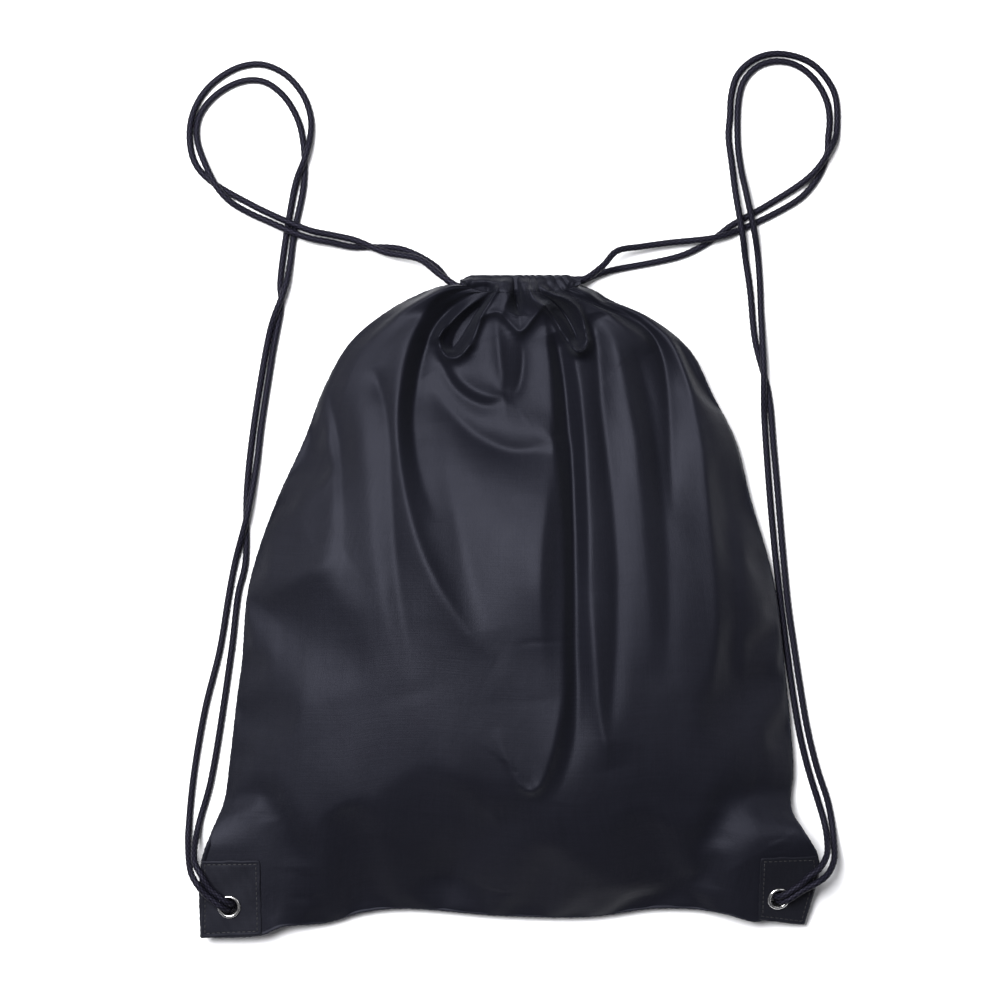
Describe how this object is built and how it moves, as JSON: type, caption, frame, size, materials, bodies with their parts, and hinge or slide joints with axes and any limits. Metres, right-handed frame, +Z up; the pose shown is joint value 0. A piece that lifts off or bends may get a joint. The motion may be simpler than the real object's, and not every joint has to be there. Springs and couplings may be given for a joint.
{
  "type": "drawstring backpack",
  "caption": "Flat cloth sack with a cinched casing mouth, doubled cord straps through metal eyelets in reinforced bottom corners, lying on its back.",
  "frame": {"origin": "centre of the underside of the sack, without its cords, as it lies flat on its back", "axes": "+Z up from the surface it lies on, +Y from the bottom seam to the cinched mouth, +X to the right seen from above"},
  "size_m": [0.3679, 0.4969, 0.0544],
  "materials": {
    "sack_cloth": "near-black plain-weave polyester with a soft satin sheen",
    "patch_cloth": "near-black matt reinforcement cloth",
    "braided_cord": "black round braided polyester cord",
    "nickel": "bright nickel plate",
    "seam_thread": "near-black sewing thread"
  },
  "bodies": {
    "bag": {"front_panel": "sack_cloth", "back_panel": "sack_cloth", "front_casing": "sack_cloth", "rear_casing": "sack_cloth", "left_side_seam": "seam_thread", "right_side_seam": "seam_thread", "bottom_seam": "seam_thread", "left_patch_front": "patch_cloth", "left_patch_back": "patch_cloth", "right_patch_front": "patch_cloth", "right_patch_back": "patch_cloth", "left_patch_thread": "seam_thread", "right_patch_thread": "seam_thread", "left_eyelet": "nickel", "right_eyelet": "nickel", "left_eyelet_washer": "nickel", "right_eyelet_washer": "nickel", "left_front_strand": "braided_cord", "left_rear_strand": "braided_cord", "right_front_strand": "braided_cord", "right_rear_strand": "braided_cord", "left_knot": "braided_cord", "right_knot": "braided_cord"},
    "left_cord": {"left_cord_run": "braided_cord"},
    "right_cord": {"right_cord_run": "braided_cord"}
  },
  "joints": [
    {"name": "left_cord_slide", "type": "slide", "parent": "bag", "child": "left_cord", "axis": [-1, 0, 0], "range_m": [-0.005, 0.003], "deforming": ["left_front_strand", "left_rear_strand"]},
    {"name": "right_cord_slide", "type": "slide", "parent": "bag", "child": "right_cord", "axis": [1, 0, 0], "range_m": [-0.005, 0.003], "deforming": ["right_front_strand", "right_rear_strand"]}
  ]
}
